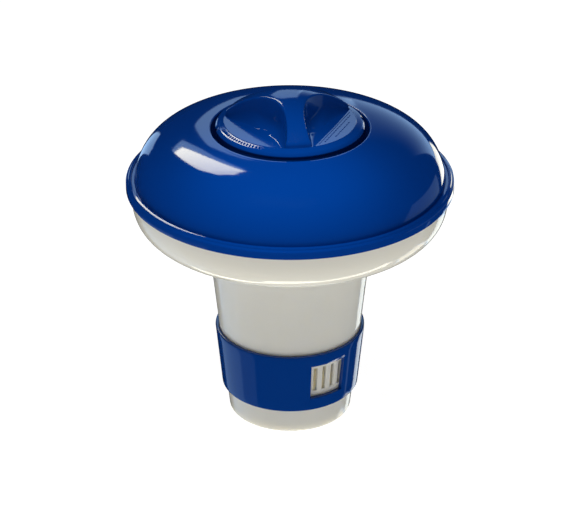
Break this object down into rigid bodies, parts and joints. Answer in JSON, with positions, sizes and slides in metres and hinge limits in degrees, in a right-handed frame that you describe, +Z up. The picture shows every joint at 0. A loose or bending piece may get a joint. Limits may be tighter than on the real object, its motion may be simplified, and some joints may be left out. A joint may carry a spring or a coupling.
{
  "type": "floating chlorine dispenser",
  "caption": "Round domed float with a tapered slotted tablet canister below, a turning flow sleeve and a three-ribbed screw cap.",
  "frame": {"origin": "centre of the canister's flat base", "axes": "+Z up along the float's axis, -Y towards the front, where the sleeve's window is 32 degrees to the right"},
  "size_m": [0.127, 0.127, 0.136],
  "materials": {
    "float_blue": "gloss",
    "cap_blue": "gloss",
    "ring_blue": "satin",
    "float_white": "satin",
    "canister_white": "satin",
    "seal_rubber": "matte"
  },
  "bodies": {
    "float": {"float_top_shell": "float_blue", "float_bottom_shell": "float_white", "tablet_canister": "canister_white", "seam_seal": "seal_rubber", "well_seal": "seal_rubber", "hub_seal": "seal_rubber"},
    "flow_ring": {"flow_control_ring": "ring_blue"},
    "cap_carrier": {"cap_gasket": "seal_rubber"},
    "screw_cap": {"cap": "cap_blue"}
  },
  "joints": [
    {"name": "flow_ring_turn", "type": "hinge", "parent": "float", "child": "flow_ring", "pos_m": [0, 0, 0.024], "axis": [0, 0, 1], "continuous": true},
    {"name": "cap_lift", "type": "slide", "parent": "float", "child": "cap_carrier", "axis": [0, 0, 1], "range_m": [0, 0.0121]},
    {"name": "cap_turn", "type": "hinge", "parent": "cap_carrier", "child": "screw_cap", "pos_m": [0, 0, 0.1176], "axis": [0, 0, 1], "range_deg": [0, 240]}
  ],
  "couplings": [
    {"joint": "cap_lift", "follows": "cap_turn", "m_per_rad": 0.0028648}
  ]
}
